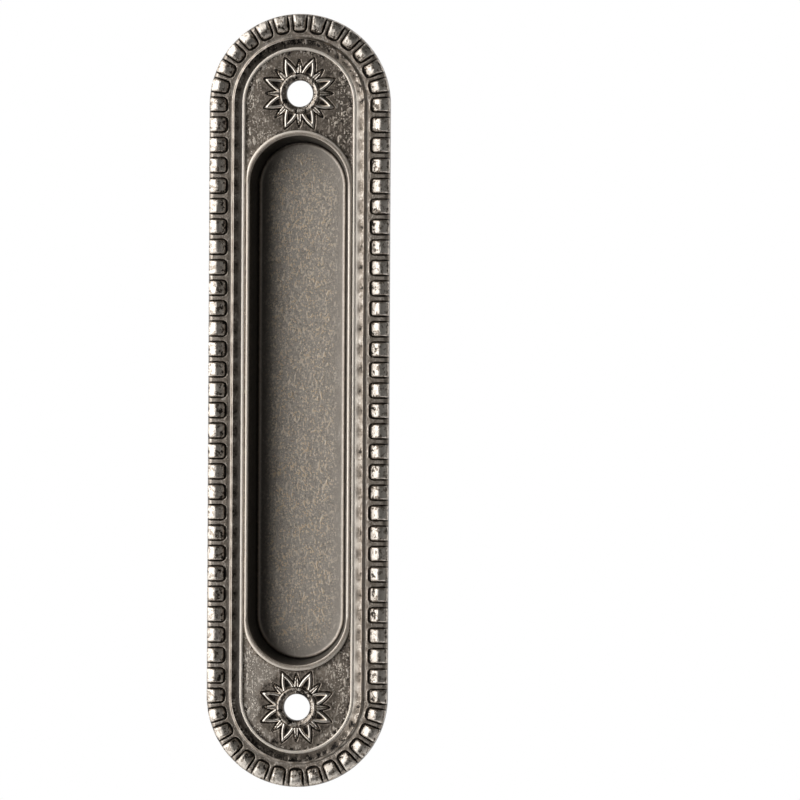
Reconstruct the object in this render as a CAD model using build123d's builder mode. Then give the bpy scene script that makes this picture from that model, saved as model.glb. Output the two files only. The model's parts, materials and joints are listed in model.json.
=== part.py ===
from build123d import *
import math
import os

# A flush pull for a sliding door, die cast in one piece: a long plate with round ends and a
# finger cup behind it. A row of half-round beads runs along its edge, then a crest with a cove,
# and a border round the flat field. Each screw hole sits in a rosette of leaves.
# The origin is midway between the screw holes on the seating plane, where the plate meets
# the door. +Z runs up the length, the front faces -Y and the cup goes back into the door at +Y.
# All sizes are in millimetres. Heights count from the seating plane towards the front.

# Plate
plate_length = 153.0
plate_width = 36.0
field_height = 2.2
wall_height = 1.1
wall_draft = 3.0
rim_rise = 0.15
shoulder_width = 0.95

# Beads on the rim
bead_pitch = 4.03
bead_gap = 0.98
bead_inset = 0.15
bead_width = 3.55
bead_rise = 1.2
bead_foot = 0.25
bead_root = 0.4
bead_draft = 9.0
crown_flats = 6

# Crest and cove inside the beads
rim_width = 0.9
crest_flank = 0.4
crest_width = 0.15
crest_rise = 0.7
cove_width = 1.4
cove_drop = 0.1
cove_sag = 0.14

# Border round the field
border_flank = 0.2
border_width = 0.35
border_rise = 0.3

# Lip and finger cup
lip_gap = 0.25
lip_flank = 0.2
lip_width = 0.5
lip_rise = 0.4
cup_depth = 8.0
cup_wall = 1.6
cup_draft = 5.0
floor_bevel = 0.7

# Screw holes, each with a collar and a rosette
screw_inset = 15.85
screw_radius = 2.6
sink_radius = 3.2
sink_angle = 90.0
collar_radius = 4.05
collar_rise = 0.4
collar_bevel = 0.45
leaf_count = 8
leaf_reach = 7.6
leaf_belly_place = 5.9
leaf_belly_width = 1.7
leaf_root_width = 2.6
leaf_rise = 0.55
leaf_bevel = 0.25
leaf_edge = 0.58
hollow_depth = 0.42
hollow_bevel = 0.2
dart_reach = 6.7
dart_width = 0.85
dart_rise = 0.4
dart_bevel = 0.3
rosette_root = 0.35
rosette_gap = 0.6

# Back of the plate
land_width = 3.2
relief_depth = 0.9
boss_radius = 4.6

# How far a cutter runs past the face that it cuts
overrun = 1.0

# Heights
rim_height = field_height + rim_rise
bead_height = rim_height + bead_rise
crest_height = field_height + crest_rise
border_height = field_height + border_rise
lip_height = field_height + lip_rise
collar_height = field_height + collar_rise
leaf_height = field_height + leaf_rise
floor_height = cup_wall - cup_depth

# Half widths, from the edge of the plate inwards
plate_half = plate_width / 2
wall_half = plate_half - wall_height * math.tan(math.radians(wall_draft))
bead_outer = plate_half - bead_inset
bead_inner = bead_outer - bead_width
crest_foot = bead_inner - rim_width
crest_outer = crest_foot - crest_flank
crest_inner = crest_outer - crest_width
cove_foot = crest_inner - cove_width
border_outer = cove_foot - border_flank
border_inner = border_outer - border_width
field_half = border_inner - border_flank
lip_foot = field_half - lip_gap
lip_outer = lip_foot - lip_flank
lip_inner = lip_outer - lip_width

# Half widths of the cup, whose walls lean in towards its floor
lean = math.tan(math.radians(cup_draft))
floor_half = lip_inner - (lip_height - floor_height) * lean
cup_front_half = lip_inner - lip_height * lean + cup_wall
cup_back_half = cup_front_half - cup_depth * lean

# Places along the length: the centres of the round ends, the screw holes, and how far the
# leaf tips come from a hole towards the cup
plate_centre = plate_length / 2 - plate_half
screw_place = plate_length / 2 - screw_inset
leaf_turn = 360 / leaf_count
leaf_tips = leaf_reach * math.cos(math.radians(leaf_turn / 2))
cup_centre = screw_place - leaf_tips - rosette_gap - lip_foot


def across(place):
    """The plane of a cross-section at a place along the length: x outwards, y the height."""
    return Plane(origin=(0, 0, place), x_dir=(1, 0, 0), z_dir=(0, 0, -1))


def carry_round(half_section, centre):
    """A half section carried along both straight sides and round both ends of a long shape."""
    with BuildPart() as run:
        with BuildSketch(across(0)):
            add(half_section)
            mirror(half_section, about=Plane.YZ)
        extrude(amount=centre, both=True)
        with BuildSketch(across(centre)):
            add(half_section)
        revolve(axis=Axis((0, 0, centre), (0, -1, 0)), revolution_arc=180)
        mirror(about=Plane.XY)
    return run.part


# Half sections
with BuildSketch() as plate_section:
    with BuildLine():
        Polyline(
            (0, 0),
            (plate_half, 0),
            (wall_half, wall_height),
            (wall_half - shoulder_width, rim_height),
            (crest_foot, rim_height),
            (crest_outer, crest_height),
            (crest_inner, crest_height),
        )
        cove_bottom = field_height - cove_drop
        cove_middle = ((crest_inner + cove_foot) / 2, (crest_height + cove_bottom) / 2 - cove_sag)
        ThreePointArc((crest_inner, crest_height), cove_middle, (cove_foot, cove_bottom))
        Polyline(
            (cove_foot, cove_bottom),
            (border_outer, border_height),
            (border_inner, border_height),
            (field_half, field_height),
            (0, field_height),
            (0, 0),
        )
    make_face()

with BuildSketch() as relief_section:
    with BuildLine():
        Polyline(
            (0, -overrun),
            (plate_half - land_width, -overrun),
            (plate_half - land_width, relief_depth),
            (0, relief_depth),
            close=True,
        )
    make_face()

with BuildSketch() as lip_section:
    with BuildLine():
        Polyline(
            (lip_foot, relief_depth),
            (lip_foot, field_height),
            (lip_outer, lip_height),
            (lip_inner, lip_height),
            (lip_inner, relief_depth),
            close=True,
        )
    make_face()

with BuildSketch() as cup_section:
    with BuildLine():
        Polyline(
            (0, -cup_depth),
            (cup_back_half, -cup_depth),
            (cup_front_half, 0),
            (cup_front_half, relief_depth),
            (0, relief_depth),
            close=True,
        )
    make_face()
    back_corner = cup_section.vertices().group_by(Axis.Y)[0].sort_by(Axis.X)[-1]
    chamfer(back_corner, floor_bevel + cup_wall / 2)

with BuildSketch() as recess_section:
    with BuildLine():
        Polyline(
            (0, floor_height),
            (floor_half, floor_height),
            (lip_inner, lip_height),
            (lip_inner, lip_height + overrun),
            (0, lip_height + overrun),
            close=True,
        )
    make_face()
    floor_corner = recess_section.vertices().group_by(Axis.Y)[0].sort_by(Axis.X)[-1]
    chamfer(floor_corner, floor_bevel)

# Section of a bead: short upright feet, a crown of narrow flats that follow a round, and a
# root inside the rim
with BuildSketch() as bead_section:
    with BuildLine():
        crown = ThreePointArc(
            (bead_inner, rim_height + bead_foot),
            ((bead_inner + bead_outer) / 2, bead_height),
            (bead_outer, rim_height - bead_foot),
            mode=Mode.PRIVATE,
        )
        Polyline(*[crown @ (i / crown_flats) for i in range(crown_flats + 1)])
        Polyline(
            crown @ 1,
            (bead_outer, wall_height),
            (bead_outer - bead_root, wall_height),
            (bead_inner, rim_height - bead_root),
            crown @ 0,
        )
    make_face()

# Shapes that are carried round
plate_run = carry_round(plate_section.sketch, plate_centre)
relief_run = carry_round(relief_section.sketch, plate_centre)
lip_run = carry_round(lip_section.sketch, cup_centre)
cup_run = carry_round(cup_section.sketch, cup_centre)
recess_run = carry_round(recess_section.sketch, cup_centre)

# The bead row: whole pitches along each side and round each end
side_pitches = round(2 * plate_centre / bead_pitch)
side_pitch = 2 * plate_centre / side_pitches
end_pitches = round(math.pi * plate_half / bead_pitch)
end_turn = 180 / end_pitches
end_fan = math.degrees((plate_half * math.radians(end_turn) - bead_gap) / plate_half)


def end_cut(place, fan, side):
    """The plane that ends a bead, leaning in by the draft and turned by half the fan."""
    upright = Plane(origin=(0, -rim_height, side * place), x_dir=(1, 0, 0), z_dir=(0, 0, side))
    return upright.rotated((side * bead_draft, -side * fan / 2, 0))


with BuildPart() as side_bead:
    with BuildSketch(across(0)):
        add(bead_section.sketch)
    extrude(amount=side_pitch / 2, both=True)
    for side in (1, -1):
        split(bisect_by=end_cut((side_pitch - bead_gap) / 2, 0, side), keep=Keep.BOTTOM)

with BuildPart() as end_bead:
    with BuildSketch(across(0)):
        add(bead_section.sketch)
    extrude(amount=side_pitch / 2, both=True)
    for side in (1, -1):
        split(bisect_by=end_cut(0, end_fan, side), keep=Keep.BOTTOM)

side_bead_places = [
    Location((0, 0, i * side_pitch - plate_centre), (0, turn, 0))
    for turn in (0, 180)
    for i in range(side_pitches + 1)
]
end_bead_places = [
    Location((0, 0, end * plate_centre), (0, -end * i * end_turn, 0))
    for end in (1, -1)
    for i in range(1, end_pitches)
]

# Leaf of the rosette, pointing up from the screw hole: a bevelled leaf with a hollow in it
leaf_root = collar_radius - rosette_root
with BuildSketch() as leaf_outline:
    with BuildLine():
        Line((-leaf_root_width / 2, leaf_root), (leaf_root_width / 2, leaf_root))
        ThreePointArc(
            (leaf_root_width / 2, leaf_root), (leaf_belly_width / 2, leaf_belly_place), (0, leaf_reach)
        )
        ThreePointArc(
            (0, leaf_reach), (-leaf_belly_width / 2, leaf_belly_place), (-leaf_root_width / 2, leaf_root)
        )
    make_face()

with BuildPart() as leaf:
    with BuildSketch(Plane.XZ.offset(field_height)):
        add(leaf_outline.sketch)
    extrude(amount=leaf_rise, taper=math.degrees(math.atan(leaf_bevel / leaf_rise)))
    with BuildSketch(Plane.XZ.offset(field_height)):
        add(leaf_outline.sketch)
    extrude(amount=-rosette_root)
    with BuildSketch(Plane.XZ.offset(leaf_height)):
        add(leaf_outline.sketch)
        offset(amount=-leaf_edge, kind=Kind.INTERSECTION, mode=Mode.REPLACE)
    extrude(
        amount=-hollow_depth,
        taper=math.degrees(math.atan(hollow_bevel / hollow_depth)),
        mode=Mode.SUBTRACT,
    )

# Dart between two leaves: a narrow ridge that runs out to a point
with BuildPart() as dart:
    with BuildSketch(Plane.XZ.offset(field_height - rosette_root)):
        Polygon(
            (-dart_width / 2, leaf_root),
            (dart_width / 2, leaf_root),
            (0, dart_reach),
            align=None,
        )
    extrude(
        amount=dart_rise + rosette_root,
        taper=math.degrees(math.atan(dart_bevel / (dart_rise + rosette_root))),
    )

leaf_places = [
    Location((0, 0, end * screw_place), (0, (i + 0.5) * leaf_turn, 0))
    for end in (1, -1)
    for i in range(leaf_count)
]
dart_places = [
    Location((0, 0, end * screw_place), (0, i * leaf_turn, 0))
    for end in (1, -1)
    for i in range(leaf_count)
]

# The casting
with BuildPart() as flush_pull:
    add(plate_run)
    add(relief_run, mode=Mode.SUBTRACT)
    with BuildSketch(Plane.XZ):
        with Locations((0, screw_place), (0, -screw_place)):
            Circle(boss_radius)
    extrude(amount=relief_depth)
    add(cup_run)
    add(lip_run)
    with Locations(*side_bead_places):
        add(side_bead.part)
    with Locations(*end_bead_places):
        add(end_bead.part)
    with BuildSketch(Plane.XZ.offset(field_height)):
        with Locations((0, screw_place), (0, -screw_place)):
            Circle(collar_radius)
    extrude(amount=collar_rise, taper=math.degrees(math.atan(collar_bevel / collar_rise)))
    with Locations(*leaf_places):
        add(leaf.part)
    with Locations(*dart_places):
        add(dart.part)
    add(recess_run, mode=Mode.SUBTRACT)
    with Locations(
        Plane(origin=(0, -collar_height, screw_place), z_dir=(0, -1, 0)),
        Plane(origin=(0, -collar_height, -screw_place), z_dir=(0, -1, 0)),
    ):
        CounterSinkHole(screw_radius, sink_radius, counter_sink_angle=sink_angle)

os.makedirs("parts", exist_ok=True)
flush_pull.part.label = "flush_pull"
export_step(flush_pull.part, "parts/flush_pull.step")
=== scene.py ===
import json
import math
from functools import partial

import bmesh
import bpy
import numpy as np
from mathutils import Matrix, Vector
from mathutils.geometry import delaunay_2d_cdt


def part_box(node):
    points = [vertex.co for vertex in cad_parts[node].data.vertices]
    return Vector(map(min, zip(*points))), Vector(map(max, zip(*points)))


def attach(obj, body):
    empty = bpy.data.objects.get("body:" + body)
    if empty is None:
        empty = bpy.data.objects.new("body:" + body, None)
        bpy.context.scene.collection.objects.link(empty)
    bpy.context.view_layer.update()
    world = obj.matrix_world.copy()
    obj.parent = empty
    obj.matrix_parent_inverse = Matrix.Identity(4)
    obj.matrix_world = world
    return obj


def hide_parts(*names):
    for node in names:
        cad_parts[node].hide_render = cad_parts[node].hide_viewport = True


# The looks of an antique silver flush pull for a sliding door. The casting is one closed skin:
# slices of the beaded band and of the finger cup are repeated along the sides and round the ends,
# leaf slices round each screw hole, and flat stretches close what lies between them.

mm = 0.001

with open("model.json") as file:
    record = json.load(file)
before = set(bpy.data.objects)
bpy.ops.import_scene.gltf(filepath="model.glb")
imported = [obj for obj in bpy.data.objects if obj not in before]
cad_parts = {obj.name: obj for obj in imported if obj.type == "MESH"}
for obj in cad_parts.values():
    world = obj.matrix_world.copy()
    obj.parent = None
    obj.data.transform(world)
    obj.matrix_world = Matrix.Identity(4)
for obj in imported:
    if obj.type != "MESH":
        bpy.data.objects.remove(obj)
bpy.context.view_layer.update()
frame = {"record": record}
print("frame loaded")

_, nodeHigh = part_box("flush_pull")
screwMount = next(m for m in frame["record"]["mounts"] if m["name"] == "screw_holes")

# Sections are in millimetres: distance from the middle line, height above the seating plane,
# then how bright the metal is (0 is dark patina, 1 is rubbed silver; in places it also carries
# painted shade and a painted reflection), how mottled and how matt.

plate = {
    "half": nodeHigh.x / mm,
    "halfLength": nodeHigh.z / mm,
    "cupDepth": nodeHigh.y / mm,
    "screwPlace": screwMount["dims"]["spacing_y_mm"] / 2,
    "screwRadius": screwMount["dims"]["hole_r_mm"],
    "field": 2.2,
    "relief": 0.9,
    "land": 3.2,
}
hidden = (0.35, 0.4, 0.7)  # shades of the back
plate["endCentre"] = plate["halfLength"] - plate["half"]


# Geometry Nodes tree that repeats a slice: along a step, or turned about the point it starts from

def makeRepeatTree():
    tree = bpy.data.node_groups.new("repeatSlice", "GeometryNodeTree")
    face = tree.interface
    face.new_socket("Geometry", in_out="INPUT", socket_type="NodeSocketGeometry")
    count = face.new_socket("Count", in_out="INPUT", socket_type="NodeSocketInt")
    start = face.new_socket("Start", in_out="INPUT", socket_type="NodeSocketVector")
    step = face.new_socket("Step", in_out="INPUT", socket_type="NodeSocketVector")
    firstTurn = face.new_socket("First Turn", in_out="INPUT", socket_type="NodeSocketFloat")
    turn = face.new_socket("Turn", in_out="INPUT", socket_type="NodeSocketFloat")
    finish = face.new_socket("Finish", in_out="INPUT", socket_type="NodeSocketMaterial")
    face.new_socket("Geometry", in_out="OUTPUT", socket_type="NodeSocketGeometry")
    node, link = tree.nodes.new, tree.links.new
    given, made = node("NodeGroupInput"), node("NodeGroupOutput")
    line = node("GeometryNodeMeshLine")
    line.mode = "OFFSET"
    index = node("GeometryNodeInputIndex")
    turned = node("ShaderNodeMath")
    turned.operation = "MULTIPLY_ADD"
    angles = node("ShaderNodeCombineXYZ")
    rotation = node("FunctionNodeEulerToRotation")
    onPoints = node("GeometryNodeInstanceOnPoints")
    real = node("GeometryNodeRealizeInstances")
    coat = node("GeometryNodeSetMaterial")
    link(given.outputs["Count"], line.inputs["Count"])
    link(given.outputs["Start"], line.inputs["Start Location"])
    link(given.outputs["Step"], line.inputs["Offset"])
    link(index.outputs[0], turned.inputs[0])
    link(given.outputs["Turn"], turned.inputs[1])
    link(given.outputs["First Turn"], turned.inputs[2])
    link(turned.outputs[0], angles.inputs["Y"])
    link(angles.outputs[0], rotation.inputs[0])
    link(line.outputs["Mesh"], onPoints.inputs["Points"])
    link(given.outputs["Geometry"], onPoints.inputs["Instance"])
    link(rotation.outputs[0], onPoints.inputs["Rotation"])
    link(onPoints.outputs[0], real.inputs[0])
    link(real.outputs[0], coat.inputs["Geometry"])
    link(given.outputs["Finish"], coat.inputs["Material"])
    link(coat.outputs[0], made.inputs[0])
    sockets = {s.name: s.identifier for s in (count, start, step, firstTurn, turn, finish)}
    return tree, sockets


repeatTree, repeatSockets = makeRepeatTree()
silverFinish = bpy.data.materials.new("antiqueSilver")
shadeNames = ("silver", "mottle", "matt")


def sliceMesh(name, strips):
    # A strip is a list of rows of points (x, y, z, silver, mottle, matt). Rows of different
    # lengths are joined by one flat face.
    points, faces = [], []
    for rows in strips:
        starts = []
        for row in rows:
            starts.append(len(points))
            points.extend(row)
        for rowA, rowB, a, b in zip(rows, rows[1:], starts, starts[1:]):
            if len(rowA) == len(rowB):
                faces += [(a + i, a + i + 1, b + i + 1, b + i) for i in range(len(rowA) - 1)]
            else:
                back = [b + i for i in reversed(range(len(rowB)))]
                faces.append([a + i for i in range(len(rowA))] + back)
    mesh = bpy.data.meshes.new(name)
    mesh.from_pydata([(x * mm, y * mm, z * mm) for x, y, z, *shades in points], [], faces)
    for i, shade in enumerate(shadeNames):
        layer = mesh.attributes.new(shade, "FLOAT", "POINT")
        layer.data.foreach_set("value", [p[3 + i] for p in points])
    return mesh


def repeated(mesh, count, start, step=(0, 0, 0), firstTurn=0.0, turn=0.0):
    holder = bpy.data.objects.new(mesh.name, mesh)
    bpy.context.scene.collection.objects.link(holder)
    repeat = holder.modifiers.new("repeat", "NODES")
    repeat.node_group = repeatTree
    values = {
        "Count": count,
        "Start": tuple(v * mm for v in start),
        "Step": tuple(v * mm for v in step),
        "First Turn": firstTurn,
        "Turn": turn,
        "Finish": silverFinish,
    }
    for name, value in values.items():
        repeat[repeatSockets[name]] = value
    shown = holder.evaluated_get(bpy.context.evaluated_depsgraph_get())
    plain = bpy.data.meshes.new_from_object(shown)
    holder.modifiers.remove(repeat)
    bpy.data.objects.remove(holder)
    return plain


def aroundStadium(sideSlice, endSlice, centre, sideCount, endCount):
    # Both sides and both ends of a long shape with round ends
    pitch, turn = 2 * centre / sideCount, math.pi / endCount
    low = -centre + pitch / 2
    return [
        repeated(sideSlice, sideCount, (0, 0, low), (0, 0, pitch)),
        repeated(sideSlice, sideCount, (0, 0, low), (0, 0, pitch), firstTurn=math.pi),
        repeated(endSlice, endCount, (0, 0, centre), firstTurn=-turn / 2, turn=-turn),
        repeated(endSlice, endCount, (0, 0, -centre), firstTurn=turn / 2, turn=turn),
    ]


def alongSide(pitch):
    return lambda share, out: (out, share * pitch)


def roundEnd(turn):
    return lambda share, out: (out * math.cos(share * turn), out * math.sin(share * turn))


def flat(spot, height):
    return spot[0], -height, spot[1]


def clamp(value):
    return min(max(value, 0.0), 1.0)


def ease(value):
    value = clamp(value)
    return value * value * (3 - 2 * value)


def easeFrom(value, start, span):
    return ease((value - start) / span)


def mix(a, b, share):
    return a + (b - a) * share


def fromEnd(point, centre):
    # How far a point lies past the start of a round end, its distance and its height
    past = abs(point.co.z / mm) - centre
    return past, math.hypot(point.co.x / mm, past), -point.co.y / mm


# Beaded band: the beads, the rim they stand on, the crest, the cove and the border. A fade is
# where it starts and how long it is.

band = {
    "sidePitches": 29,
    "endPitches": 14,
    # Where the rows have points across one pitch: with beads, and plain
    "columns": (0, 0.07, 0.106, 0.13, 0.148, 0.165, 0.19, 0.225, 0.27, 0.33, 0.5),
    "coarse": (-0.5, -0.3, -0.15, 0, 0.15, 0.3, 0.5),
    "rows": (13.8, 13.89, 13.98, 14.08, 14.15, 14.22, 14.29, 14.37, 14.47, 14.6, 14.78,
             15.05, 15.4, 15.8, 16.2, 16.6, 16.95),
    # Outer rows: distance and height at the gap, then at the bead
    "outerRows": (
        ((17.15, 2.33), (17.2, None)),
        ((17.35, 2.24), (17.42, None)),
        ((17.55, 2.08), (17.62, None)),
        ((17.7, 1.88), (17.78, None)),
        ((17.81, 1.62), (17.86, 1.85)),
        ((17.86, 1.36), (17.88, 1.45)),
    ),
    "wall": ((17.92, 1.12), (17.985, 0.15), (17.9, 0.0)),
    "wallShades": (0.22, 0.3, 0.4),
    "landEdge": 17.7,
    "rim": 2.35,
    "rimInner": 14.2,
    "rimSlope": 0.06,
    "rimFade": (16.5, 0.5),
    "rimFall": 0.02,
    "crownPlace": 16.2,
    "crownTop": 3.5,
    "crownFall": 0.43,
    "crownPower": 1.6,
    "gapShare": 0.144,
    "beadFoot": 14.28,
    "cornerRadius": 0.72,
    "edgeRound": 0.42,
    "flanksAtEnds": 0.68,        # softer flanks on the beads of the round ends
    # The crease round a bead, and the raised edge of its pocket: at the flank, then at the foot
    "footBlend": 0.7,
    "creaseHalf": (0.16, 0.31),
    "creaseShift": (0.03, -0.04),
    "creasePower": 1.5,
    "creaseDepth": 0.24,
    "creaseFade": (17.1, 0.6),
    "creaseAtEdge": 0.35,
    "contour": 0.06,
    "contourPlace": (0.24, 0.34),
    "contourWidth": 0.08,
    # Shades of the beads and the gaps
    "gapSilver": 0.58,
    "beadSilver": 0.95,
    "burnish": 0.8,
    "burnishShare": 0.7,
    "creaseDark": 1.5,
    # painted shade on the inner half of a bead
    "innerShadeSilver": 0.78,
    "innerFade": (15.3, 0.9),
    "edgeSilver": 0.5,
    "edgeFade": (17.3, 0.35),
    "gapMottle": 0.35,
    "beadMottle": 0.9,
    "mottleAcross": (1.2, 0.8),
    "mottleFade": (15.3, 1.2),
    "gapMatt": 0.75,
    "beadMatt": 0.62,
    "mattRise": 1.5,
    # Scallops in the cove, darkened as a painted reflection of the beads, more mottle at the ends, and
    # painted shade in the cove towards the tips of the ends
    "scallop": 0.06,
    "paintedBeadReflection": 0.6,
    "mottleAtEnds": 1.8,
    "cove": (11.3, 12.9),
    "coveFloor": 2.25,
    "coveShade": 0.62,
    "coveShadeGrowth": 1.2,
    # Distance, height, silver, mottle, matt and how far the scallops reach
    "moulding": (
        (13.72, 2.321, 0.58, 0.3, 0.75, 0),
        (13.58, 2.313, 0.58, 0.2, 0.7, 0),
        (13.4, 2.3, 0.56, 0.1, 0.6, 0),
        (13.31, 2.325, 0.58, 0.1, 0.45, 0),
        (13.22, 2.39, 0.6, 0.1, 0.4, 0),
        (13.14, 2.46, 0.6, 0.1, 0.4, 0),
        (13.06, 2.535, 0.6, 0.1, 0.4, 0),
        (12.99, 2.59, 0.6, 0.1, 0.4, 0),
        (12.93, 2.62, 0.6, 0.1, 0.4, 0),
        (12.86, 2.62, 0.55, 0.2, 0.4, 0.3),
        (12.78, 2.605, 0.52, 0.3, 0.4, 0.7),
        (12.62, 2.573, 0.54, 0.3, 0.4, 1.0),
        (12.42, 2.535, 0.57, 0.3, 0.4, 1.0),
        (12.2, 2.495, 0.6, 0.3, 0.4, 1.0),
        (11.98, 2.457, 0.63, 0.2, 0.4, 0.75),
        (11.75, 2.42, 0.68, 0.1, 0.4, 0.35),
        (11.55, 2.39, 0.72, 0.1, 0.4, 0),
        (11.4, 2.368, 0.8, 0.1, 0.5, 0),
        (11.31, 2.357, 0.9, 0.1, 0.6, 0),
        (11.24, 2.372, 1.0, 0.15, 0.9, 0),
        (11.14, 2.398, 1.0, 0.2, 1.1, 0),
        (11.0, 2.408, 1.0, 0.2, 1.2, 0),
        (10.86, 2.403, 1.0, 0.2, 1.1, 0),
        (10.77, 2.385, 1.0, 0.2, 0.9, 0),
        (10.71, 2.34, 0.9, 0.2, 0.7, 0),
        (10.66, 2.27, 0.55, 0.2, 0.7, 0),
        (10.62, 2.21, 0.3, 0.1, 0.7, 0),
        (10.58, 2.2, 0.24, 0.5, 0.7, 0),
    ),
}


def crownHeight(out):
    return band["crownTop"] - band["crownFall"] * abs(out - band["crownPlace"]) ** band["crownPower"]


def rimHeight(out):
    # The rim falls a little towards the moulding and towards the edge
    if out < band["rimInner"]:
        return band["rim"] + band["rimSlope"] * (out - band["rimInner"])
    return band["rim"] - band["rimFall"] * easeFrom(out, *band["rimFade"])


def beadPoint(place, pitchAt, flanks, share, gapPlace, beadPlace):
    # One point of the bead row; gapPlace and beadPlace are (distance, height or None)
    out = gapPlace[0]
    along = (abs(share) - band["gapShare"]) * pitchAt(out)
    along *= flanks if along > 0 else 1.0
    across = out - band["beadFoot"]
    corner, blend = band["cornerRadius"], band["footBlend"]
    if along < corner and across < corner:
        inside = corner - math.hypot(corner - along, corner - across)
    else:
        inside = min(along, across)
    lift = clamp(inside / band["edgeRound"])
    lift = math.sqrt(1 - (1 - lift) ** 2)
    atFoot = easeFrom(along - across, -blend / 2, blend) if across < corner else 0.0
    creaseOff = (inside + mix(*band["creaseShift"], atFoot)) / mix(*band["creaseHalf"], atFoot)
    crease = clamp(1 - creaseOff ** 2) ** band["creasePower"]
    contourOff = (inside + mix(*band["contourPlace"], atFoot)) / band["contourWidth"]
    beside = math.exp(-contourOff ** 2)
    depth = band["creaseDepth"] * mix(1.0, band["creaseAtEdge"], easeFrom(out, *band["creaseFade"]))
    beadHeight = beadPlace[1] if beadPlace[1] is not None else crownHeight(beadPlace[0])
    height = mix(gapPlace[1], beadHeight, lift) - depth * crease + band["contour"] * beside * atFoot
    silver = mix(band["gapSilver"], band["beadSilver"], lift)
    silver = mix(silver, band["burnish"], band["burnishShare"] * beside)
    silver *= 1 - clamp(band["creaseDark"] * crease)
    # The inner half of a bead is painted darker as shade, and the outer edge is darker
    silver *= mix(band["innerShadeSilver"], 1.0, easeFrom(out, *band["innerFade"]))
    silver *= mix(1.0, band["edgeSilver"], easeFrom(out, *band["edgeFade"]))
    mottle = mix(band["gapMottle"], band["beadMottle"], lift) * (1 - crease)
    mottle *= mix(*band["mottleAcross"], easeFrom(out, *band["mottleFade"]))
    matt = mix(band["gapMatt"], band["beadMatt"], ease(lift * band["mattRise"]))
    x, z = place(share, mix(gapPlace[0], beadPlace[0], lift))
    return x, -height, z, silver, mottle, matt


def bandSlice(name, place, pitchAt, flanks, worn):
    # flanks scales the flanks of the beads, worn how mottled the moulding is
    shares = [-c for c in reversed(band["columns"][1:])] + list(band["columns"])
    rows = []
    back = plate["half"] - plate["land"]
    for out, height in ((back, plate["relief"]), (back, 0.0), (band["landEdge"], 0.0)):
        rows.append([(*flat(place(s, out), height), *hidden) for s in band["coarse"]])
    for out, height in reversed(band["wall"]):
        rows.append([(*flat(place(s, out), height), *band["wallShades"]) for s in shares])
    beadRows = [((out, rimHeight(out)), (out, None)) for out in band["rows"]] + list(band["outerRows"])
    for gapPlace, beadPlace in reversed(beadRows):
        rows.append([beadPoint(place, pitchAt, flanks, s, gapPlace, beadPlace) for s in shares])
    for out, height, silver, mottle, matt, reach in band["moulding"]:
        row = []
        for s in band["coarse"]:
            # The scallops dip, and their metal is darker there as a painted reflection of the beads
            hit = reach * (0.5 - 0.5 * math.cos(2 * math.pi * s))
            spot = flat(place(s, out), height - band["scallop"] * hit)
            row.append((*spot, silver * (1 - band["paintedBeadReflection"] * hit), mottle * worn, matt))
        rows.append(row)
    return sliceMesh(name, [rows])


sidePitch = 2 * plate["endCentre"] / band["sidePitches"]
endTurn = math.pi / band["endPitches"]
sideBand = bandSlice("sideBand", alongSide(sidePitch), lambda out: sidePitch, 1.0, 1.0)
endBand = bandSlice("endBand", roundEnd(endTurn), lambda out: out * endTurn,
                    band["flanksAtEnds"], band["mottleAtEnds"])
parts = aroundStadium(sideBand, endBand, plate["endCentre"], band["sidePitches"], band["endPitches"])


def shadeCoveAtEnds(mesh):
    # Painted shade: the cove is darker towards the tips of the round ends
    inner, outer = band["cove"]
    for v, silver in zip(mesh.vertices, mesh.attributes["silver"].data):
        past, out, height = fromEnd(v, plate["endCentre"])
        if past > 0 and inner < out < outer and height > band["coveFloor"]:
            silver.value *= 1 - band["coveShade"] * ease(band["coveShadeGrowth"] * past / out)


for mesh in parts[2:]:
    shadeCoveAtEnds(mesh)
print("beaded band made")

# Finger cup: its lip, walls and the round at its floor, and the outside behind the plate

cup = {
    "centre": 42.58,
    "sideCount": 22,
    "endCount": 40,
    # Distance, height, silver, mottle and matt, from the field into the recess
    "lip": (
        (10.53, 2.2, 0.24, 0.5, 0.7),
        (10.51, 2.21, 0.3, 0.1, 0.7),
        (10.48, 2.29, 0.55, 0.1, 0.7),
        (10.44, 2.41, 0.85, 0.1, 0.8),
        (10.38, 2.505, 1.0, 0.1, 1.1),
        (10.3, 2.56, 1.0, 0.15, 1.3),
        (10.2, 2.592, 1.0, 0.15, 1.4),
        (10.09, 2.6, 1.0, 0.15, 1.4),
        (9.96, 2.575, 1.0, 0.15, 1.2),
        (9.84, 2.52, 0.95, 0.15, 0.8),
        (9.77, 2.43, 0.6, 0.2, 0.6),
        (9.73, 2.3, 0.35, 0.2, 0.6),
        (9.69, 2.1, 0.15, 0.1, 0.5),
    ),
    "crownFrom": 2.56,           # the lip's crown is above this height
    "crownSilverAtEnds": 0.5,
    "spread": 0.38,              # how much wider the lip is round the ends
    "spreadFrom": 10.1,
    "spreadAbove": 2,
    "spreadBlend": 0.35,
    "spreadGrowth": 2.2,
    "lean": math.tan(math.radians(6)),
    "wall": 1.6,
    "wallShares": (0.08, 0.2, 0.4, 0.6, 0.8, 0.92),
    # The wall's silver falls from the lip to the floor, and the round stays dark near the wall: patina
    # and painted shade in the cup
    "wallSilver": 0.08,
    "wallShades": (0.05, 0.6),
    "floorRound": 1.0,
    "roundShades": (0.1, 0.8),
    "roundSteps": 10,
    "paintedShadeSteps": 4,
    "floorSilver": 0.68,
    "floorMatt": 1.0,
    "flecksFade": (8.2, -3.6),   # flecked in the middle, smooth near the walls
    "backRound": 2.2,
    "backHalf": 11.1,
}
cup["floor"] = cup["wall"] - plate["cupDepth"]


def quarterRound(foot, low, radius):
    # Distances and heights from the foot of a wall down to a flat
    for i in range(cup["roundSteps"] + 1):
        angle = math.pi / 2 * i / cup["roundSteps"]
        yield foot - radius * (1 - math.cos(angle)), low + radius * (1 - math.sin(angle))


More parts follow.
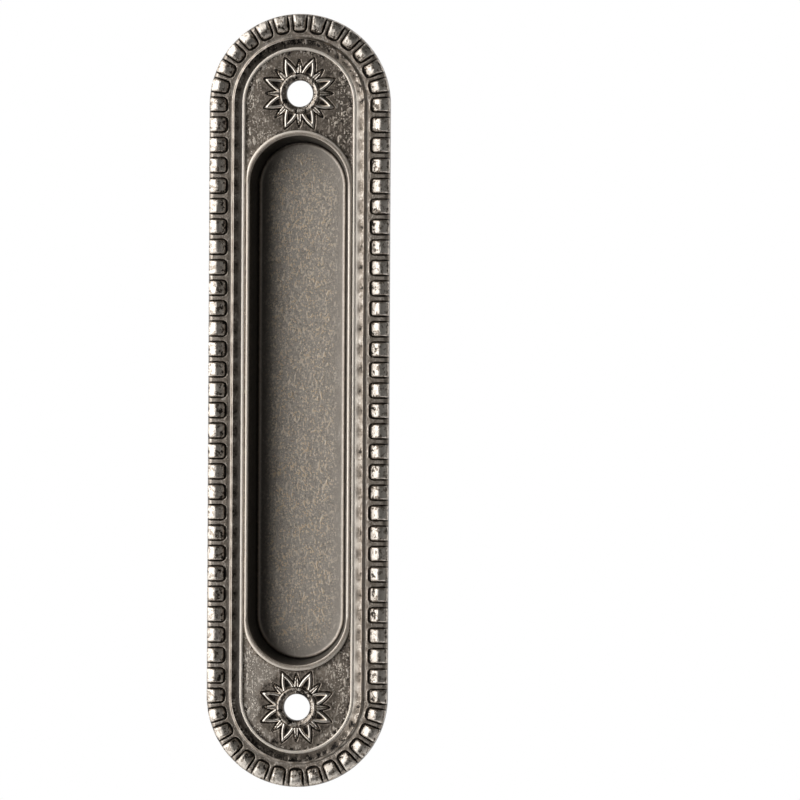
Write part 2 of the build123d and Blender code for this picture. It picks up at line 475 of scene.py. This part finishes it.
def cupSlice(name, place, crownSilver):
    lean, floor, radius = cup["lean"], cup["floor"], cup["floorRound"]
    inner = [
        (out, height, silver * (crownSilver if height > cup["crownFrom"] else 1.0), mottle, matt)
        for out, height, silver, mottle, matt in cup["lip"]
    ]
    top, topHeight = cup["lip"][-1][:2]
    # Darker down the wall: patina and painted shade deeper in the cup
    for share in cup["wallShares"]:
        height = mix(topHeight, floor + radius, share)
        silver = mix(cup["wallSilver"], 0.0, share)
        inner.append((top - (topHeight - height) * lean, height, silver, *cup["wallShades"]))
    foot = top - (topHeight - floor - radius) * lean
    # The round is dark at the wall and brightens towards the floor: painted shade in the corner
    for i, (out, height) in enumerate(quarterRound(foot, floor, radius)):
        silver = mix(0.0, cup["floorSilver"], ease(2 * (i - cup["paintedShadeSteps"]) / cup["roundSteps"]))
        inner.append((out, height, silver, *cup["roundShades"]))
    back, radius = -plate["cupDepth"], cup["backRound"]
    foot = cup["backHalf"] + (back + radius) * lean
    outer = [(cup["backHalf"], plate["relief"], *hidden), (cup["backHalf"], 0.0, *hidden)]
    outer += [(out, height, *hidden) for out, height in quarterRound(foot, back, radius)]
    strips = [
        [[(*flat(place(s, out), height), *shades) for s in (-0.5, 0.5)] for out, height, *shades in side]
        for side in (inner, outer)
    ]
    return sliceMesh(name, strips)


sideCup = cupSlice("sideCup", alongSide(2 * cup["centre"] / cup["sideCount"]), 1.0)
endCup = cupSlice("endCup", roundEnd(math.pi / cup["endCount"]), cup["crownSilverAtEnds"])
cupParts = aroundStadium(sideCup, endCup, cup["centre"], cup["sideCount"], cup["endCount"])


def spreadLip(mesh):
    # The lip widens outwards away from where the round ends meet the sides
    for v in mesh.vertices:
        past, out, height = fromEnd(v, cup["centre"])
        if past > 0 and out > cup["spreadFrom"] and height > cup["spreadAbove"]:
            grown = cup["spread"] * easeFrom(out, cup["spreadFrom"], cup["spreadBlend"])
            wide = grown * ease(cup["spreadGrowth"] * past / out)
            v.co.x *= 1 + wide / out
            v.co.z = math.copysign(cup["centre"] + past * (1 + wide / out), v.co.z) * mm


for mesh in cupParts[2:]:
    spreadLip(mesh)
parts += cupParts
print("finger cup made")

# Rosettes: the screw hole, its collar and one leaf with half a dart on each side

rosette = {
    "leaves": 8,
    "columns": 36,
    "bossRadius": 4.6,
    # Radius, height, silver and mottle
    "collar": (
        (2.6, 1.6, 0.0, 0.0),
        (2.64, 1.82, 0.05, 0.1),
        (2.74, 2.02, 0.2, 0.6),
        (2.88, 2.19, 0.3, 0.9),
        (3.05, 2.32, 0.38, 0.9),
        (3.22, 2.42, 0.42, 0.9),
        (3.38, 2.49, 0.48, 0.9),
        (3.52, 2.52, 0.56, 0.9),
        (3.68, 2.52, 0.6, 0.9),
        (3.82, 2.47, 0.5, 0.9),
        (3.94, 2.37, 0.3, 0.5),
        (4.04, 2.24, 0.08, 0.2),
    ),
    "collarMatt": 0.6,
    "firstRow": 4.12,
    "rowCount": 34,
    "edgeAtLeaf": 7.95,
    "edgeAtDart": 7.05,
    "leafRoot": 3.7,
    "leafReach": 7.55,
    "leafHalf": 1.3,
    "leafPower": 1.9,
    "leafRise": 0.3,
    "leafMottle": 0.2,
    "leafMatt": (0.4, 0.35),
    # The ridge along a leaf's edge: its side towards the field, and the hollow between the ridges
    "ridgeHalf": 0.38,
    "ridgeShare": 0.9,
    "ridgePower": 2.2,
    "ridgeFade": (0.72, 0.28),
    "footRise": -0.05,
    "footSilver": 0.2,
    "hollowRise": -0.16,
    "hollowSilver": 0.3,
    "hollowFade": (4.2, 0.4),
    "dartRoot": 4.2,
    "dartReach": 6.6,
    "dartHalf": 0.5,
    "dartRise": 0.22,
    "strokePlace": 0.52,
    "strokeFade": (0.6, 0.4),
    "strokeFoot": 0.1,
    # The groove round leaves and darts, and the low contour beyond it
    "creasePlace": 0.02,
    "creaseHalf": 0.22,
    "creaseDepth": 0.18,
    "creaseDark": 1.6,
    "contour": 0.03,
    "contourPlace": 0.33,
    "contourWidth": 0.09,
    "contourSilver": 0.1,
    "groundSilver": 0.28,
    "groundShades": (0.3, 0.7),
}
offLeaf = -9.0  # the rise of a point outside a leaf or a dart


def leafPoint(side, along):
    # Rise above the field, how far inside the leaf, and silver, of one leaf that points along
    span = rosette["leafReach"] - rosette["leafRoot"]
    share = (along - rosette["leafRoot"]) / span
    if share >= 1:
        slope = rosette["leafHalf"] * rosette["leafPower"] / span
        inside = -math.hypot(side / math.hypot(1, slope), along - rosette["leafReach"])
    else:
        share = max(share, 0.0)
        half = rosette["leafHalf"] * (1 - share ** rosette["leafPower"])
        slope = rosette["leafHalf"] * rosette["leafPower"] * share ** (rosette["leafPower"] - 1) / span
        inside = (half - abs(side)) / math.hypot(1, slope)
    if inside <= 0:
        return offLeaf, inside, 0.0
    # A ridge follows the leaf's edge, and the two ridges meet at the tip
    middle = half / math.hypot(1, slope)
    width = min(rosette["ridgeHalf"], rosette["ridgeShare"] * middle)
    off = (inside - width) / width
    top = rosette["leafRise"] * (width / rosette["ridgeHalf"]) ** 0.5
    if off < 0:
        low, dim = rosette["footRise"], rosette["footSilver"]
    else:
        low = rosette["hollowRise"]
        dim = rosette["hollowSilver"] * (1 - easeFrom(along, *rosette["hollowFade"]))
    rise = mix(top, low, min(abs(off), 1.0) ** rosette["ridgePower"])
    return rise, inside, mix(1.0, dim, easeFrom(abs(off), *rosette["ridgeFade"]))


def dartPoint(side, along):
    # The same of one dart, which is two strokes side by side
    span = rosette["dartReach"] - rosette["dartRoot"]
    share = (along - rosette["dartRoot"]) / span
    if share >= 1:
        return offLeaf, -math.hypot(side, along - rosette["dartReach"]), 0.0
    half = rosette["dartHalf"] * (1 - max(share, 0.0) ** 2)
    inside = half - abs(side)
    if inside <= 0:
        return offLeaf, inside, 0.0
    off = abs(abs(side) / half - rosette["strokePlace"]) / (1 - rosette["strokePlace"])
    top = rosette["dartRise"] * (half / rosette["dartHalf"]) ** 0.5
    rise = mix(top, rosette["footRise"], min(off, 1.0) ** rosette["ridgePower"])
    return rise, inside, mix(1.0, rosette["strokeFoot"], easeFrom(off, *rosette["strokeFade"]))


def rosettePoint(radius, angle):
    # Rise above the field, silver, mottle and matt
    leafRise, leafIn, leafBright = leafPoint(radius * math.sin(angle), radius * math.cos(angle))
    dartAngle = math.pi / rosette["leaves"] - abs(angle)
    dartRise, dartIn, dartBright = dartPoint(radius * math.sin(dartAngle), radius * math.cos(dartAngle))
    inside = max(leafIn, dartIn)
    if inside > 0:
        bright = leafBright if leafRise >= dartRise else dartBright
        return max(leafRise, dartRise), bright, rosette["leafMottle"], mix(*rosette["leafMatt"], bright)
    crease = clamp(1 - ((-inside - rosette["creasePlace"]) / rosette["creaseHalf"]) ** 2)
    contour = math.exp(-((-inside - rosette["contourPlace"]) / rosette["contourWidth"]) ** 2)
    rise = rosette["contour"] * contour - rosette["creaseDepth"] * crease
    silver = rosette["groundSilver"] + rosette["contourSilver"] * contour
    silver *= 1 - clamp(rosette["creaseDark"] * crease)
    return rise, silver, *rosette["groundShades"]


def leafSlice(name):
    half = math.pi / rosette["leaves"]
    angles = [mix(-half, half, i / rosette["columns"]) for i in range(rosette["columns"] + 1)]

    def ring(radius, height, *shades):
        return [(radius * math.cos(a), -height, radius * math.sin(a), *shades) for a in angles]

    rows = [
        ring(rosette["bossRadius"], plate["relief"], *hidden),
        ring(rosette["bossRadius"], 0.0, *hidden),
        ring(plate["screwRadius"], 0.0, *hidden),
    ]
    for radius, height, silver, mottle in rosette["collar"]:
        rows.append(ring(radius, height, silver, mottle, rosette["collarMatt"]))
    for i in range(rosette["rowCount"] + 1):
        share = i / rosette["rowCount"]
        row = []
        for a in angles:
            wave = 1 - max(1 - abs(a) / half, 0.0) ** 2
            edge = mix(rosette["edgeAtLeaf"], rosette["edgeAtDart"], wave)
            radius = mix(rosette["firstRow"], edge, share)
            rise, *shades = rosettePoint(radius, a)
            if i == rosette["rowCount"]:
                rise = 0.0
            x, z = radius * math.cos(a), radius * math.sin(a)
            row.append((x, -(plate["field"] + rise), z, *shades))
        rows.append(row)
    return sliceMesh(name, [rows])


leafTurn = 2 * math.pi / rosette["leaves"]
oneLeaf = leafSlice("rosetteLeaf")
for end in (1, -1):
    place = (0, 0, end * plate["screwPlace"])
    parts.append(repeated(oneLeaf, rosette["leaves"], place, firstTurn=leafTurn / 2, turn=leafTurn))
print("rosettes made")

# Shades of the flat stretches. A pair is at the upper and the lower end, or at the middle line
# and the sides.

field = {
    "silver": (0.32, 0.55),
    "endFade": (20, -40),
    "mottle": (0.4, 1.0),
    "sideFade": (3.5, 5.5),
    "matt": 0.86,
    "half": 9,
    # painted light on the left side of the field, painted shade on the right side
    "paintedLightLeft": 0.03,
    "paintedShadeRight": (0.12, 0.24),
}


def fieldShades(x, z):
    # More light flecks towards the sides, and a lighter field at the lower end; painted light on the
    # left side and painted shade on the right side
    low, side = easeFrom(z, *field["endFade"]), easeFrom(abs(x), *field["sideFade"])
    left, right = clamp(-x / field["half"]), clamp(x / field["half"])
    # Painted light on the left side and painted shade on the right side, the shade stronger at the lower
    # end
    lit = field["paintedLightLeft"] * left - right * mix(*field["paintedShadeRight"], low)
    return mix(*field["silver"], low) + lit, mix(*field["mottle"], side), field["matt"]


def floorShades(x, z):
    out = math.hypot(x, max(abs(z) - cup["centre"], 0.0))
    return cup["floorSilver"], easeFrom(out, *cup["flecksFade"]), cup["floorMatt"]


flats = {
    # height, spacing of the points inside, their shades
    "field": (plate["field"], 0.8, fieldShades),
    "relief": (plate["relief"], 2.5, lambda x, z: hidden),
    "floor": (cup["floor"], 1.6, floorShades),
    "cupBack": (-plate["cupDepth"], 3.0, lambda x, z: hidden),
}

# The slices are joined into one skin, and its open loops at each flat height are filled

skinning = {
    "exact": 0.000001,
    "merge": 0.001,        # points this near each other become one
    "level": 0.0001,       # an open edge this near a flat's height belongs to the flat
    # Points inside a flat, as shares of their spacing
    "start": 0.25,         # keeps them off the flat's straight edges
    "rowStep": 0.87,
    "shift": 0.5,
    "clear": 0.55,
    "sharpFrom": 50,       # degrees between two faces
}


def joinSlices(meshes):
    skin = bmesh.new()
    layers = [skin.verts.layers.float.new(shade) for shade in shadeNames]
    for mesh in meshes:
        shades = []
        for shade in shadeNames:
            values = np.zeros(len(mesh.vertices), np.float32)
            mesh.attributes[shade].data.foreach_get("value", values)
            shades.append(values)
        made = []
        for i, v in enumerate(mesh.vertices):
            vert = skin.verts.new(v.co)
            for layer, values in zip(layers, shades):
                vert[layer] = values[i]
            made.append(vert)
        for face in mesh.polygons:
            skin.faces.new([made[i] for i in face.vertices])
    bmesh.ops.remove_doubles(skin, verts=skin.verts, dist=skinning["merge"] * mm)
    return skin, layers


def openLoops(skin, height):
    # Loops of open edges that lie at a height

    def isLevel(edge):
        return all(abs(v.co.y + height * mm) < skinning["level"] * mm for v in edge.verts)

    waiting = {e for e in skin.edges if e.is_boundary and isLevel(e)}
    loops = []
    while waiting:
        edge = min(waiting, key=lambda e: e.index)
        waiting.discard(edge)
        first, last = edge.verts
        loop = [first, last]
        while True:
            onward = next((e for e in last.link_edges if e in waiting), None)
            if onward is None:
                break
            waiting.discard(onward)
            last = onward.other_vert(last)
            if last is first:
                break
            loop.append(last)
        loops.append(loop)
    return loops


def insideRings(rings, points):
    # An odd number of rings round a point means that it is on the flat
    inside = np.zeros(len(points), bool)
    for ring in rings:
        a, b = ring, np.roll(ring, -1, axis=0)
        px, pz = points[:, 0:1], points[:, 1:2]
        crosses = (a[:, 1] > pz) != (b[:, 1] > pz)
        with np.errstate(divide="ignore", invalid="ignore"):
            cut = a[:, 0] + (pz - a[:, 1]) * (b[:, 0] - a[:, 0]) / (b[:, 1] - a[:, 1])
        inside ^= (crosses & (px < cut)).sum(axis=1) % 2 == 1
    return inside


def gridInside(rings, spacing):
    # Staggered points on the flat, clear of its edges
    edgeSpots = np.concatenate(rings)
    low, high = edgeSpots.min(axis=0) + skinning["start"] * spacing, edgeSpots.max(axis=0)
    grid = np.array([
        (x + (skinning["shift"] * spacing if j % 2 else 0.0), z)
        for j, z in enumerate(np.arange(low[1], high[1], spacing * skinning["rowStep"]))
        for x in np.arange(low[0], high[0], spacing)
    ])
    grid = grid[insideRings(rings, grid)]
    gaps = np.array([np.hypot(*(edgeSpots - g).T).min() for g in grid])
    return grid[gaps > skinning["clear"] * spacing]


def fillFlat(skin, layers, height, spacing, shadesAt):
    skin.edges.index_update()
    loops = openLoops(skin, height)
    links, rings = [], []
    first = 0
    for loop in loops:
        rings.append(np.array([(v.co.x / mm, v.co.z / mm) for v in loop]))
        links += [(first + i, first + (i + 1) % len(loop)) for i in range(len(loop))]
        first += len(loop)
    verts = [v for loop in loops for v in loop]
    grid = gridInside(rings, spacing)
    everything = [Vector(spot) for spot in np.concatenate([*rings, grid])]
    places, _, faces, origins, _, _ = delaunay_2d_cdt(everything, links, [], 0, skinning["exact"])
    for x, z in grid:
        vert = skin.verts.new((x * mm, -height * mm, z * mm))
        for layer, shade in zip(layers, shadesAt(x, z)):
            vert[layer] = shade
        verts.append(vert)
    middles = np.array([np.mean([places[i] for i in f], axis=0) for f in faces])
    for face, keep in zip(faces, insideRings(rings, middles)):
        if keep:
            skin.faces.new([verts[origins[i][0]] for i in face])


def makeCasting():
    skin, layers = joinSlices(parts)
    for name, (height, spacing, shadesAt) in flats.items():
        fillFlat(skin, layers, height, spacing, shadesAt)
        print("filled", name)
    bmesh.ops.recalc_face_normals(skin, faces=skin.faces)
    if skin.calc_volume(signed=True) < 0:
        bmesh.ops.reverse_faces(skin, faces=skin.faces)
    openCount = sum(1 for e in skin.edges if not e.is_manifold)
    print("casting:", len(skin.verts), "points,", len(skin.faces), "faces,", openCount, "open edges,",
          round(skin.calc_volume() / mm ** 3), "cubic millimetres")
    mesh = bpy.data.meshes.new("flushPull")
    skin.to_mesh(mesh)
    skin.free()
    mesh.materials.append(silverFinish)
    mesh.polygons.foreach_set("material_index", [0] * len(mesh.polygons))
    mesh.polygons.foreach_set("use_smooth", [True] * len(mesh.polygons))
    mesh.set_sharp_from_angle(angle=math.radians(skinning["sharpFrom"]))
    casting = bpy.data.objects.new("flushPull", mesh)
    bpy.context.scene.collection.objects.link(casting)
    return casting


casting = makeCasting()
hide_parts("flush_pull")
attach(casting, "root")
for mesh in parts + [sideBand, endBand, sideCup, endCup, oneLeaf]:
    bpy.data.meshes.remove(mesh)

# Antique silver: dark patina in the hollows, worn bright on the edges, mottled on the flats. The silver
# attribute also carries some painted shade and a painted reflection.

finish = {
    "patina": (0.014, 0.0105, 0.008),
    "aged": (0.39, 0.33, 0.272),
    "worn": (0.94, 0.867, 0.777),
    "patinaAt": 0.02,
    "agedAt": 0.42,
    "fleckTint": (1.0, 0.9, 0.75),
    "tintAt": (0.8, 1.0),        # how matt the metal is where the flecks take their tint
    "glossy": 0.2,
    "matt": 0.52,
    "mattest": 1.5,
    "darkRough": 0.08,
    "metalAt": (0.0, 0.2),       # the patina is partly a plain coat
    "metalShare": (0.6, 1.0),
    # Noises: speckles to a metre, detail and roughness
    "stroke": (1700, 1, 0.5),
    "fine": (1840, 3, 0.65),
    "blotch": (1100, 2, 0.6),
    "patch": (450, 2, 0.5),
    "waves": (420, 2, 0.5),
    "grain": (1600, 4, 0.6),
    # Where a noise begins to show, and where it shows in full
    "strokeCut": (0.62, 0.7),
    "fineCut": (0.5, 0.66),
    "blotchCut": (0.52, 0.6),
    "patchCut": (0.35, 0.6),
    "patchLevels": (0.3, 1.0),
    "strokeLeans": (38, -28),
    "strokeStretch": 0.42,
    # Round flecks: cells to a metre, their size in a cell, and in how many cells
    "specks": (2000, 3200),
    "speckSize": (0.2, 0.5),
    "speckSoft": 0.12,
    "speckCut": (0.4, 0.6),
    "denseAt": (0.88, 1.0),
    "dense": 0.3,
    "fleckBright": 0.9,
    "fineDark": 0.15,
    "blotAt": (0.62, 0.85),
    "blotDark": 0.65,
    # Bumps of the waves, the grain and the flecks, in metres
    "bumpHeights": (0.0001, 0.00005, 0.00005),
    "bumpStrength": 0.6,
    "grainAt": (0.2, 1.0),
    "grainStrength": (0.12, 0.45),
}


def mathStep(tree, kind, *values):
    # A Math node; each value is a number or another node's socket
    step = tree.nodes.new("ShaderNodeMath")
    step.operation = kind
    for socket, value in zip(step.inputs, values):
        if isinstance(value, (int, float)):
            socket.default_value = value
        else:
            tree.links.new(value, socket)
    return step.outputs[0]


def rangeStep(tree, value, span, levels=(0.0, 1.0), kind="LINEAR"):
    step = tree.nodes.new("ShaderNodeMapRange")
    step.interpolation_type = kind
    step.inputs["From Min"].default_value, step.inputs["From Max"].default_value = span
    step.inputs["To Min"].default_value, step.inputs["To Max"].default_value = levels
    tree.links.new(value, step.inputs["Value"])
    return step.outputs[0]


def paintSilver(material):
    material.use_nodes = True
    tree = material.node_tree
    tree.nodes.clear()
    node, link = tree.nodes.new, tree.links.new
    work, between = partial(mathStep, tree), partial(rangeStep, tree)
    out, metal = node("ShaderNodeOutputMaterial"), node("ShaderNodeBsdfPrincipled")
    link(metal.outputs[0], out.inputs["Surface"])
    spot = node("ShaderNodeTexCoord")
    shades = []
    for name in shadeNames:
        shade = node("ShaderNodeAttribute")
        shade.attribute_name = name
        shades.append(shade.outputs["Fac"])
    silver, mottle, matt = shades

    def noise(scale, detail, rough, lean=None):
        texture = node("ShaderNodeTexNoise")
        texture.inputs["Scale"].default_value = scale
        texture.inputs["Detail"].default_value = detail
        texture.inputs["Roughness"].default_value = rough
        source = spot.outputs["Object"]
        if lean is not None:
            # Strokes: the pattern drawn out along a leaning line
            drawn = node("ShaderNodeMapping")
            drawn.inputs["Rotation"].default_value = (0, math.radians(lean), 0)
            drawn.inputs["Scale"].default_value = (1, 1, finish["strokeStretch"])
            link(source, drawn.inputs["Vector"])
            source = drawn.outputs[0]
        link(source, texture.inputs["Vector"])
        return texture.outputs["Fac"]

    def grains(scale, more):
        # Round grains of uneven size in a part of the cells
        cells, drawn = node("ShaderNodeTexVoronoi"), node("ShaderNodeSeparateColor")
        cells.inputs["Scale"].default_value = scale
        link(spot.outputs["Object"], cells.inputs["Vector"])
        link(cells.outputs["Color"], drawn.inputs[0])
        size = between(drawn.outputs["Green"], (0.0, 1.0), finish["speckSize"])
        grain = between(work("SUBTRACT", size, cells.outputs["Distance"]), (0.0, finish["speckSoft"]))
        shown = between(work("ADD", drawn.outputs["Red"], more), finish["speckCut"])
        return work("MULTIPLY", grain, shown)

    # More flecks where the metal is most matt, in the recess
    dense = between(matt, finish["denseAt"], (0.0, finish["dense"]))
    bright = work("MAXIMUM", *(grains(scale, dense) for scale in finish["specks"]))
    for lean in finish["strokeLeans"]:
        bright = work("MAXIMUM", bright, between(noise(*finish["stroke"], lean), finish["strokeCut"]))
    dark = between(noise(*finish["fine"]), finish["fineCut"])
    blotch = between(noise(*finish["blotch"]), finish["blotchCut"])
    patch = between(noise(*finish["patch"]), finish["patchCut"], finish["patchLevels"])
    flecks = work("MULTIPLY", work("MULTIPLY", bright, patch), mottle)
    blots = work("MULTIPLY", blotch, between(matt, finish["blotAt"], (finish["blotDark"], 0.0)))
    stains = work("MULTIPLY", work("MULTIPLY_ADD", dark, finish["fineDark"], blots), mottle)
    level = work("SUBTRACT", work("MULTIPLY_ADD", flecks, finish["fleckBright"], silver), stains)
    ramp = node("ShaderNodeValToRGB")
    colours = ramp.color_ramp.elements
    colours[0].position, colours[0].color = finish["patinaAt"], (*finish["patina"], 1)
    colours[1].position, colours[1].color = 1.0, (*finish["worn"], 1)
    middle = colours.new(finish["agedAt"])
    middle.color = (*finish["aged"], 1)
    link(level, ramp.inputs[0])
    # The colour sockets of a Mix node are 6 and 7
    tint = node("ShaderNodeMix")
    tint.data_type, tint.blend_type = "RGBA", "MULTIPLY"
    link(work("MULTIPLY", flecks, between(matt, finish["tintAt"])), tint.inputs[0])
    link(ramp.outputs[0], tint.inputs[6])
    tint.inputs[7].default_value = (*finish["fleckTint"], 1)
    link(tint.outputs[2], metal.inputs["Base Color"])
    mattest = mix(finish["glossy"], finish["matt"], finish["mattest"])
    rough = between(matt, (0.0, finish["mattest"]), (finish["glossy"], mattest))
    link(work("ADD", rough, work("MULTIPLY", dark, finish["darkRough"])), metal.inputs["Roughness"])
    link(between(level, finish["metalAt"], finish["metalShare"]), metal.inputs["Metallic"])
    # The grain is deeper where the metal is matt, and the flecks stand up a little
    waves, grain, pips = (node("ShaderNodeBump") for _ in range(3))
    heights = (noise(*finish["waves"]), noise(*finish["grain"]), flecks)
    for bump, height, distance in zip((waves, grain, pips), heights, finish["bumpHeights"]):
        bump.inputs["Strength"].default_value = finish["bumpStrength"]
        bump.inputs["Distance"].default_value = distance
        link(height, bump.inputs["Height"])
    link(between(matt, finish["grainAt"], finish["grainStrength"]), grain.inputs["Strength"])
    link(waves.outputs[0], grain.inputs["Normal"])
    link(grain.outputs[0], pips.inputs["Normal"])
    link(pips.outputs[0], metal.inputs["Normal"])


paintSilver(silverFinish)
print("finish made")

# Camera, as far off as the photograph's flat view asks for, five degrees to the right

view = {
    "distance": 1.5,
    "turn": 5.0,
    "scale": 0.1979,       # millimetres a pixel at the plate
    "pixels": 800,
    "aim": (20.0, 0.18),   # millimetres right of and above the middle that the view centres on
    "roll": 0.29,
    "sensor": 36.0,
    "clip": (0.05, 50),
}


def placeCamera():
    lens = bpy.data.cameras.new("camera")
    lens.sensor_width = view["sensor"]
    lens.lens = view["sensor"] * view["distance"] / (view["scale"] * view["pixels"] * mm)
    lens.clip_start, lens.clip_end = view["clip"]
    camera = bpy.data.objects.new("camera", lens)
    bpy.context.scene.collection.objects.link(camera)
    turn = math.radians(view["turn"])
    place = Vector((math.sin(turn), -math.cos(turn), 0)) * view["distance"]
    right = Vector((math.cos(turn), math.sin(turn), 0))
    target = right * view["aim"][0] * mm + Vector((0, 0, view["aim"][1] * mm))
    ahead = (target - place).normalized()
    side = ahead.cross(Vector((0, 0, 1))).normalized()
    up = side.cross(ahead)
    facing = Matrix((side, up, -ahead)).transposed().to_4x4()
    roll = Matrix.Rotation(math.radians(view["roll"]), 4, "Z")
    camera.matrix_world = Matrix.Translation(place) @ facing @ roll
    bpy.context.scene.camera = camera


placeCamera()

# Light: a wide bright panel on the left, dark in front and dim on the right, as the photograph's
# studio, a little from above, and white behind. Angles count to the left from the front.

light = {
    "lampPlace": (-0.62, -0.5, 0.3),
    "lampSize": 0.6,
    "lampPower": 1.0,
    "lean": (
        (-90, 0.3),
        (-78, 0.25),
        (-70, 0.11),
        (-42, 0.11),
        (-28, 0.1),
        (-16, 0.02),
        (9, 0.015),
        (14, 0.05),
        (19, 0.7),
        (23, 1.6),
        (28, 1.7),
        (65, 1.7),
        (80, 1.0),
        (90, 0.75),
    ),
    "tall": (0.9, 0.5),     # the panel fades where the direction rises or falls this steeply
    "wedge": (0.2, -0.1),   # and where it rises or falls more than it leans
    "above": (0.55, 0.7),
    "aboveEnd": (0.95, 0.8),
    "aboveLevel": 1.4,
    "aboveSide": (-0.1, -0.3),
    "behind": (0.25, 0.55),
    "behindLevel": 1.0,
    "backdrop": 1.0,
}


def lightStudio():
    lamp = bpy.data.lights.new("lamp", "AREA")
    lamp.shape = "SQUARE"
    lamp.size = light["lampSize"]
    lamp.energy = light["lampPower"]
    holder = bpy.data.objects.new("lamp", lamp)
    bpy.context.scene.collection.objects.link(holder)
    holder.location = light["lampPlace"]
    holder.rotation_mode = "QUATERNION"
    holder.rotation_quaternion = (-Vector(light["lampPlace"])).to_track_quat("-Z", "Y")
    world = bpy.data.worlds.new("studio")
    bpy.context.scene.world = world
    world.use_nodes = True
    tree = world.node_tree
    tree.nodes.clear()
    node, link = tree.nodes.new, tree.links.new
    work, smooth = partial(mathStep, tree), partial(rangeStep, tree, kind="SMOOTHSTEP")
    out, sky = node("ShaderNodeOutputWorld"), node("ShaderNodeBackground")
    sky.inputs["Color"].default_value = (1, 1, 1, 1)
    link(sky.outputs[0], out.inputs[0])
    way, parted = node("ShaderNodeTexCoord"), node("ShaderNodeSeparateXYZ")
    link(way.outputs["Generated"], parted.inputs[0])
    lean = work("ARCSINE", parted.outputs["X"])
    levels = node("ShaderNodeFloatCurve")
    curve = levels.mapping.curves[0]
    top = max(level for _, level in light["lean"])
    for i, (turn, level) in enumerate(light["lean"]):
        spot = ((turn + 90) / 180, level / top)
        if i == 0:
            curve.points[0].location = spot
        elif i == len(light["lean"]) - 1:
            curve.points[len(curve.points) - 1].location = spot
        else:
            curve.points.new(*spot)
    for point in curve.points:
        point.handle_type = "VECTOR"
    levels.mapping.update()
    link(rangeStep(tree, lean, (math.pi / 2, -math.pi / 2)), levels.inputs["Value"])

    def mixed(share, a, b):
        step = node("ShaderNodeMix")
        step.data_type = "FLOAT"
        link(share, step.inputs[0])
        link(a, step.inputs[2])
        step.inputs[3].default_value = b
        return step.outputs[0]

    wide, high = parted.outputs["X"], parted.outputs["Z"]
    steep = work("ABSOLUTE", high)
    panel = work("MULTIPLY", work("MULTIPLY", levels.outputs[0], top), smooth(steep, light["tall"]))
    beyond = work("SUBTRACT", steep, work("ABSOLUTE", wide))
    panel = work("MULTIPLY", panel, smooth(beyond, light["wedge"]))
    above = smooth(high, light["above"], (0.0, light["aboveLevel"]))
    above = work("MULTIPLY", above, smooth(high, light["aboveEnd"]))
    above = work("MULTIPLY", above, smooth(wide, light["aboveSide"]))
    behind = smooth(parted.outputs["Y"], light["behind"])
    around = mixed(behind, work("ADD", panel, above), light["behindLevel"])
    # The white background, which the metal shows too where it lies behind the handle
    path = node("ShaderNodeLightPath")
    seen = work("MAXIMUM", path.outputs["Is Camera Ray"], path.outputs["Is Transmission Ray"])
    seen = work("MAXIMUM", seen, work("MULTIPLY", path.outputs["Is Glossy Ray"], behind))
    link(mixed(seen, around, light["backdrop"]), sky.inputs["Strength"])


lightStudio()

# Pale floor, which glows by itself where the camera or a reflection sees it

floor = {
    "height": -0.3,
    "side": 0.6,
    "front": -0.12,
    "back": 1.1,
    "colour": (0.9, 0.9, 0.9),
    "glow": 1.0,
    "shadow": 0.3,
}


def layFloor():
    side, front, back = floor["side"], floor["front"], floor["back"]
    mesh = bpy.data.meshes.new("floor")
    corners = [(-side, front), (side, front), (side, back), (-side, back)]
    mesh.from_pydata([(x, y, floor["height"]) for x, y in corners], [], [(0, 1, 2, 3)])
    ground = bpy.data.objects.new("floor", mesh)
    bpy.context.scene.collection.objects.link(ground)
    pale = bpy.data.materials.new("paleFloor")
    pale.use_nodes = True
    tree = pale.node_tree
    tree.nodes.clear()
    node, link = tree.nodes.new, tree.links.new
    out, both = node("ShaderNodeOutputMaterial"), node("ShaderNodeMixShader")
    shade, glow = node("ShaderNodeBsdfDiffuse"), node("ShaderNodeEmission")
    shade.inputs["Color"].default_value = (*floor["colour"], 1)
    glow.inputs["Strength"].default_value = floor["glow"]
    path = node("ShaderNodeLightPath").outputs
    seen = mathStep(tree, "MAXIMUM", path["Is Camera Ray"], path["Is Glossy Ray"])
    seen = mathStep(tree, "MAXIMUM", seen, path["Is Transmission Ray"])
    link(mathStep(tree, "MULTIPLY", seen, 1 - floor["shadow"]), both.inputs[0])
    link(shade.outputs[0], both.inputs[1])
    link(glow.outputs[0], both.inputs[2])
    link(both.outputs[0], out.inputs["Surface"])
    mesh.materials.append(pale)


layFloor()
bpy.context.scene.view_settings.view_transform = "Standard"
print("light and camera placed")
